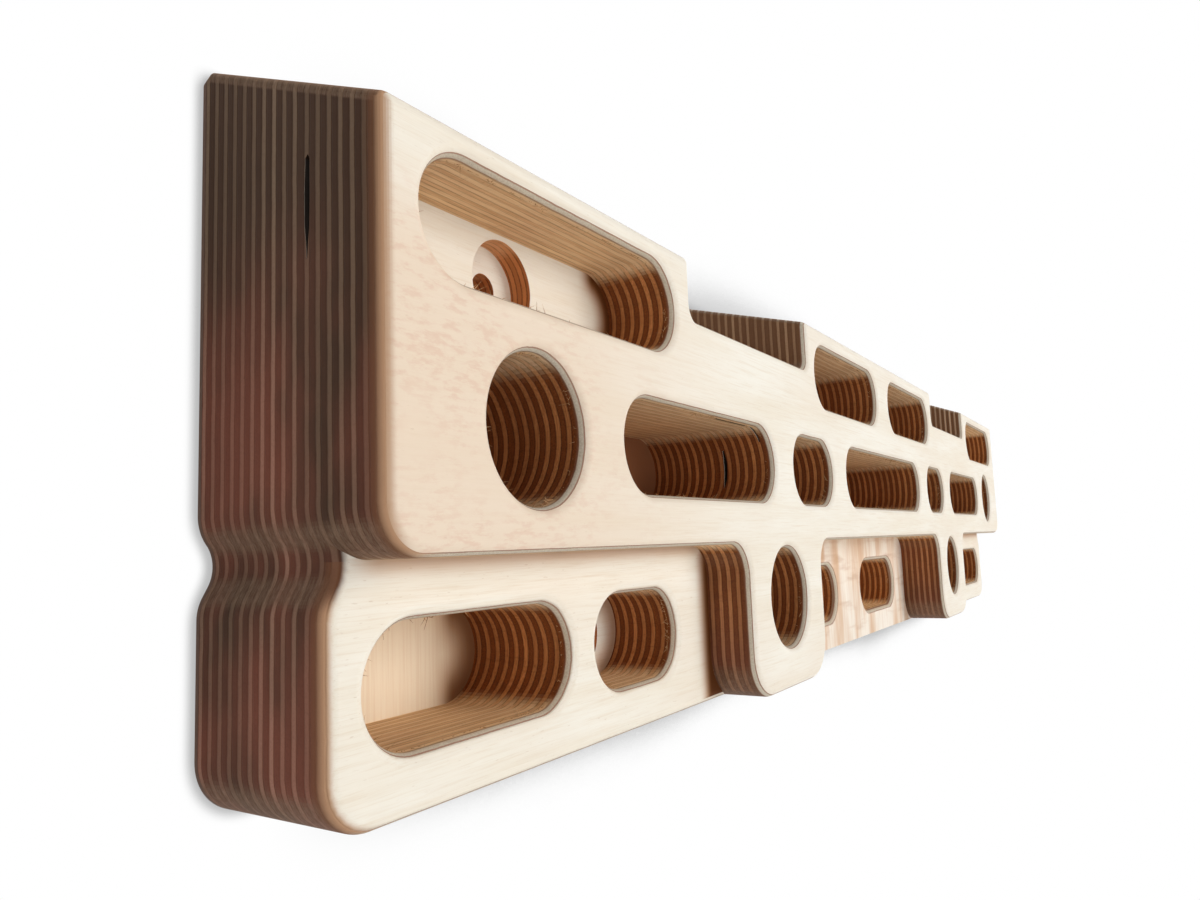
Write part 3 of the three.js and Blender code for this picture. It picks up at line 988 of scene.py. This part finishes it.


# %% [markdown]
# The finished material lays these over each other: fresh walls, aged walls with their painted shade
# and highlight outside and on the sides of the tabs, the rims, the floors with their painted shade
# where the surface faces the front, and last the painted black shade in the gaps. The front and the
# rear sheet each get one, because their plies start at different depths.

# %% Ply material
def ply_material(name, first_ply_depth):
    material, start = new_material(name)
    at = read_surface(start)
    ply = read_ply(start, at, first_ply_depth)
    beside_notch = between(at.off_centre, notch_inner - 4, notch_outer + 4)
    in_notch = beside_notch * (at.height > notch_floor - 1)
    at_end = at.off_centre.ramp(297, 308) * at.away.ramp(-0.5, 0.1)
    from_tab = (at.off_centre - tab_x).absolute()
    tab_side = between(from_tab, 22, 36) * (at.height < step_height - 1)
    tab_side = tab_side * at.height.ramp(30, 4, 0.35, 0.85)
    on_top, at_bottom = at.height > 122.5, at.height.ramp(5, 2)
    outside = at_end.largest(in_notch).largest(on_top).largest(tab_side).largest(at_bottom)
    fresh, aged_with_painted_light = fresh_wall(start, at, ply), aged_wall_with_painted_light(start, at, ply, in_notch)
    wall = rim_band(start, at, ply, mixed(start, outside * 0.95, fresh, aged_with_painted_light), at_end)
    floor, floor_relief = milled_floor(start, at)
    floor = shaded_floor(start, at, floor)
    flat = at.front.ramp(0.4, 0.75) * (1 - ply.crossed) + at.front.ramp(0.88, 0.98) * ply.crossed
    flat = flat * (1 - at_end) + at.front.ramp(0.7, 0.98) * at_end
    colour = mixed(start, flat, wall, floor)
    # Painted shade: the gaps go black inside.
    colour = mixed(start, gap_shade_mask(at) * 0.97, colour, tone(22, 12, 8))
    relief = ply.crossed * 0.25 + ply.speckle * 0.4 + ply.glue.ramp(0.0, 0.15) * 0.5 + ply.saw * 0.3
    relief = relief * (1 - at.front.ramp(0.75, 0.97)) + floor_relief * 0.2
    finish_material(start, colour, 0.68, 0.1, relief, 0.00018)
    return material


ply_edges_front = ply_material("ply_edges_front", face_veneer / MM)
ply_edges_rear = ply_material("ply_edges_rear", (rear_sheet_depth + rear_first_veneer) / MM)
print("ply edges", len(ply_edges_front.node_tree.nodes), "nodes in each material")

# %% [markdown]
# ## Layers
# The finished board is parted at the same glue lines as the CAD model, so each layer is a piece of
# its own, and stands for the CAD node of the same name. Each layer's box says where to cut.

# %% Layer helper
slab_half_length, slab_half_height = 0.4, 0.1
SHARP_ANGLE = math.radians(28)


def layer_of(node, index, last):
    """The part of the board that lies between a CAD node's front and back."""
    low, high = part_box(node)
    near = low.y - overrun if index == 0 else low.y
    far = high.y + overrun if index == last else high.y
    slab = stacked("slab", [
        [(-slab_half_length, y, -slab_half_height), (slab_half_length, y, -slab_half_height),
         (slab_half_length, y, slab_half_height), (-slab_half_length, y, slab_half_height)]
        for y in (near, far)
    ])
    piece = bpy.data.objects.new(f"{node}_milled", board.data.copy())
    bpy.context.scene.collection.objects.link(piece)
    combined(piece, slab, "INTERSECT")
    piece.data.name = piece.name
    piece.data.shade_smooth()
    piece.data.set_sharp_from_angle(angle=SHARP_ANGLE)
    even = piece.modifiers.new("even", "WEIGHTED_NORMAL")
    even.keep_sharp = True
    ready = piece.evaluated_get(bpy.context.evaluated_depsgraph_get())
    piece.data = bpy.data.meshes.new_from_object(ready)
    piece.modifiers.remove(even)
    return piece


# %% [markdown]
# The veneers show the face's grain, and the ply pairs show the stripes of their own sheet. The
# name of a CAD node says which of the three finishes its layer takes.

# %% Part the board
nodes_from_front = sorted(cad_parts, key=lambda node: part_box(node)[0].y)
for index, node in enumerate(nodes_from_front):
    piece = layer_of(node, index, len(nodes_from_front) - 1)
    if "veneer" in node:
        finish, slot_name = birch_face, "face_veneer"
    elif node.startswith("front"):
        finish, slot_name = ply_edges_front, "front_plies"
    else:
        finish, slot_name = ply_edges_rear, "rear_plies"
    piece.data.materials.clear()
    piece.data.materials.append(finish)
    piece.data.polygons.foreach_set("material_index", [0] * len(piece.data.polygons))
    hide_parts(node)
    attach(piece, "root")
    print(node, len(piece.data.polygons), "faces")
bpy.data.objects.remove(board)

# %% [markdown]
# ## Splinters
# A router leaves fine hairs of wood where a wall meets its round-over. There are thousands, no two
# alike, so Geometry Nodes scatter one thin cone along points on the rims. They keep most of the
# cones where a noise is high, so that the hairs stand in tufts, and turn and stretch each by chance.

# %% Splinter tree
def splinter_tree(material):
    tree = bpy.data.node_groups.new("rim_splinters", "GeometryNodeTree")
    sizes = {}
    for name, kind in (("Geometry", "Geometry"), ("Length", "Float"), ("Thickness", "Float"),
                       ("Share Kept", "Float"), ("Seed", "Int")):
        sizes[name] = tree.interface.new_socket(name, in_out="INPUT",
                                                socket_type=f"NodeSocket{kind}")
    tree.interface.new_socket("Geometry", in_out="OUTPUT", socket_type="NodeSocketGeometry")
    given = tree.nodes.new("NodeGroupInput")
    size = {name: Wire(tree, given.outputs[name]) for name in sizes}
    start = Wire(tree, None)

    points = start.node("GeometryNodeMeshToPoints", {"Mesh": size["Geometry"]})
    tuft = start.node("ShaderNodeTexNoise", {"Scale": 160.0, "Detail": 1.0})
    chance = start.node("FunctionNodeRandomValue", {"Seed": size["Seed"]}, out=1, data_type="FLOAT")
    kept = chance * (1 - tuft.ramp(0.5, 0.62) * 0.9) < size["Share Kept"]
    hair = start.node("GeometryNodeMeshCone", {
        "Vertices": 3, "Radius Top": size["Thickness"] * 0.15, "Radius Bottom": size["Thickness"],
        "Depth": size["Length"]}, out="Mesh")
    turn = start.node("FunctionNodeRandomValue", {
        "Min": (0.2, -1.2, 0), "Max": (2.9, 1.2, 6.28), "Seed": size["Seed"] + 1,
    }, data_type="FLOAT_VECTOR")
    grow = start.node("FunctionNodeRandomValue", {
        "Min": (0.5, 0.5, 0.15), "Max": (1.2, 1.2, 1.0), "Seed": size["Seed"] + 2,
    }, data_type="FLOAT_VECTOR")
    hairs = start.node("GeometryNodeInstanceOnPoints", {
        "Points": points, "Selection": kept, "Instance": hair, "Rotation": turn, "Scale": grow})
    whole = start.node("GeometryNodeRealizeInstances", {"Geometry": hairs})
    finished = start.node("GeometryNodeSetMaterial", {"Geometry": whole, "Material": material})
    ending = tree.nodes.new("NodeGroupOutput")
    tree.links.new(finished.socket, ending.inputs[0])
    return tree, {name: item.identifier for name, item in sizes.items()}


# %% [markdown]
# Torn hairs are raw wood, a little darker than the face. They are too small to show grain, so one
# soft noise gives each its own shade.

# %% Splinter material
def splinter_material():
    material, start = new_material("torn_fibre")
    shade = streaks(start, read_surface(start).place, (1, 1, 1), 1.3)
    colour = mixed(start, shade.ramp(0.35, 0.65), tone(224, 184, 138), tone(168, 122, 80))
    finish_material(start, colour, 0.75, 0.1, shade, 0.00002)
    return material


# %% [markdown]
# A hair can stand anywhere on a rim, so the seed points follow each slot's outline in even steps,
# just behind its round-over. The walk goes along the top, round one end, back below and round the
# other end.

# %% Walk round a slot
rim_step, rim_inset, behind_face = 0.35, 0.1, 3.2


def spot_on_rim(along, x, z, straight, radius):
    """Where the walk round a slot at (x, z) has come to after a length."""
    half_turn = math.pi * radius
    for part in range(4):
        length = 2 * straight if part % 2 == 0 else half_turn
        if along <= length:
            break
        along -= length
    if part == 0:
        return x - straight + along, z + radius
    if part == 2:
        return x + straight - along, z - radius
    side = 1 if part == 1 else -1
    angle = along / radius
    return x + side * (straight + radius * math.sin(angle)), z + side * radius * math.cos(angle)


rim_points = []
for name, x, z, width, height, floor_depth, face_depth in cut_list:
    straight, radius = (width - height) / 2, height / 2 - rim_inset
    around = math.tau * radius + 4 * straight
    for step in range(int(around / rim_step)):
        spot_x, spot_z = spot_on_rim(step * rim_step, x, z, straight, radius)
        rim_points.append((spot_x * MM, front_y + (face_depth + behind_face) * MM,
                           bottom_z + spot_z * MM))
rim_mesh = bpy.data.meshes.new("rims")
rim_mesh.from_pydata(rim_points, [], [])
print("rim points", len(rim_points), "on", len(cut_list), "rims")

# %% [markdown]
# Between the tufts about one point in nine grows a hair, and in a tuft nearly all do. The seed is
# fixed, so the same hairs come back each time.

# %% Scatter the splinters
splinters = grown("rim_splinters", *splinter_tree(splinter_material()), {
    "Length": 2.8 * MM, "Thickness": 0.1 * MM, "Share Kept": 0.11, "Seed": 7,
}, rim_mesh)
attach(splinters, "root")
print("splinters", len(splinters.data.polygons) // 5, "on", len(rim_points), "points")

# %% [markdown]
# ## Wall, floor and light
# The board hangs on a white wall, and the room is lit softly from the front and the right, so the
# left end is in shade. The wall's near-contact shade gives the soft grey edge that the photograph
# has round the board: narrow at the left end, wider along the board, and faint above it. Only a ray
# that leaves the board's back meets the wall within a millimetre. The back would be black there, so
# such a ray finds the wall bright, and the back can be looked at too.

# %% Wall paint
def ray(start, fact):
    """A fact about the ray that arrives, such as its length."""
    return start.node("ShaderNodeLightPath", out=fact)


def seen_ray(start):
    """1 for a ray that shows in the picture, and 0 for one that only brings light."""
    seen = ray(start, "Is Camera Ray").largest(ray(start, "Is Glossy Ray"))
    return seen.largest(ray(start, "Is Transmission Ray"))


def pale_stage_material():
    material, start = new_material("pale_wall")
    wide = start.node("ShaderNodeAmbientOcclusion", {"Distance": 0.09}, out="AO", samples=32)
    place = split_up(start, start.node("ShaderNodeTexCoord", out="Object"))
    along, height = place[0], place[2]
    width = along.ramp(-0.32, -0.1, 0.0035, 0.010)
    near = start.node("ShaderNodeAmbientOcclusion", {"Distance": width}, out="AO", samples=16)
    past_end, above = along.ramp(-0.30, -0.22), height.ramp(-0.03, 0.03)
    reach = wide.ramp(0.60 + above * 0.11, 0.75 + above * 0.09, 0.45 + above * 0.2, 1.0)
    soft = near.ramp(0.5, 0.97, 0.5, 1.0) * (1 - (1 - reach) * past_end)
    grey = start.node("ShaderNodeCombineColor", (soft, soft, soft))
    glow = start.node("ShaderNodeEmission", {"Color": grey, "Strength": 1.0})
    paint = start.node("ShaderNodeBsdfDiffuse", {"Color": (0.8, 0.8, 0.8, 1)})
    shown = start.node("ShaderNodeMixShader", {0: seen_ray(start), 1: paint, 2: glow})
    touching = ray(start, "Is Diffuse Ray") * (ray(start, "Ray Length") < 0.0009)
    back_glow = start.node("ShaderNodeEmission", {"Color": (1, 1, 1, 1), "Strength": 0.9})
    shown = start.node("ShaderNodeMixShader", {0: touching, 1: shown, 2: back_glow})
    behind = start.node("ShaderNodeNewGeometry", out="Backfacing")
    clear = start.node("ShaderNodeBsdfTransparent")
    one_sided = start.node("ShaderNodeMixShader", {0: behind, 1: shown, 2: clear})
    ending = start.tree.nodes.new("ShaderNodeOutputMaterial")
    start.tree.links.new(one_sided.socket, ending.inputs["Surface"])
    return material


# %% [markdown]
# Wall and floor are one sheet with a round cove, so no line shows where they meet. It goes further
# to the right than to the left, because the camera looks that way.

# %% Backdrop
COVE_STEPS = 24
wall_y, floor_z, cove = 0.0005, -0.9, 0.6
room_height, room_depth, room_left, room_right = 9, 9, -9, 19
sweep = [(wall_y, room_height)]
for step in range(COVE_STEPS + 1):
    angle = math.pi / 2 * step / COVE_STEPS
    sweep.append((wall_y - cove * (1 - math.cos(angle)), floor_z + cove * (1 - math.sin(angle))))
sweep.append((-room_depth, floor_z))
backdrop_mesh = bpy.data.meshes.new("backdrop")
backdrop_mesh.from_pydata(
    [(x, y, z) for y, z in sweep for x in (room_left, room_right)], [],
    [(2 * index, 2 * index + 2, 2 * index + 3, 2 * index + 1) for index in range(len(sweep) - 1)],
)
backdrop_mesh.materials.append(pale_stage_material())
backdrop_mesh.shade_smooth()
backdrop = bpy.data.objects.new("backdrop", backdrop_mesh)
bpy.context.scene.collection.objects.link(backdrop)
print("backdrop faces", [round(value, 2) for value in backdrop_mesh.polygons[0].normal])

# %% [markdown]
# One large soft lamp stands in front and to the right, a weaker one in front and to the left, and
# the world fills in evenly.

# %% Lights
def soft_lamp(name, place, size, power):
    """A round soft lamp that looks at the middle of the board."""
    light = bpy.data.lights.new(name, "AREA")
    light.shape, light.size, light.energy = "DISK", size, power
    lamp = bpy.data.objects.new(name, light)
    lamp.location = place
    lamp.rotation_euler = (-Vector(place)).to_track_quat("-Z", "Y").to_euler()
    bpy.context.scene.collection.objects.link(lamp)
    print(name, power, "W")


soft_lamp("main_lamp", (2.4, -5.2, 1.2), 3.6, 184)
soft_lamp("fill_lamp", (-1.5, -2.6, -0.5), 2.0, 20)

world = bpy.data.worlds.new("room")
bpy.context.scene.world = world
world.use_nodes = True
start = Wire(world.node_tree, None)
room = world.node_tree.nodes["Background"]
room.inputs["Color"].default_value = (1, 1, 1, 1)
evenly = 0.28
room_light = evenly + seen_ray(start) * (1 - evenly)
world.node_tree.links.new(room_light.socket, room.inputs["Strength"])
bpy.context.scene.view_settings.view_transform = "Standard"
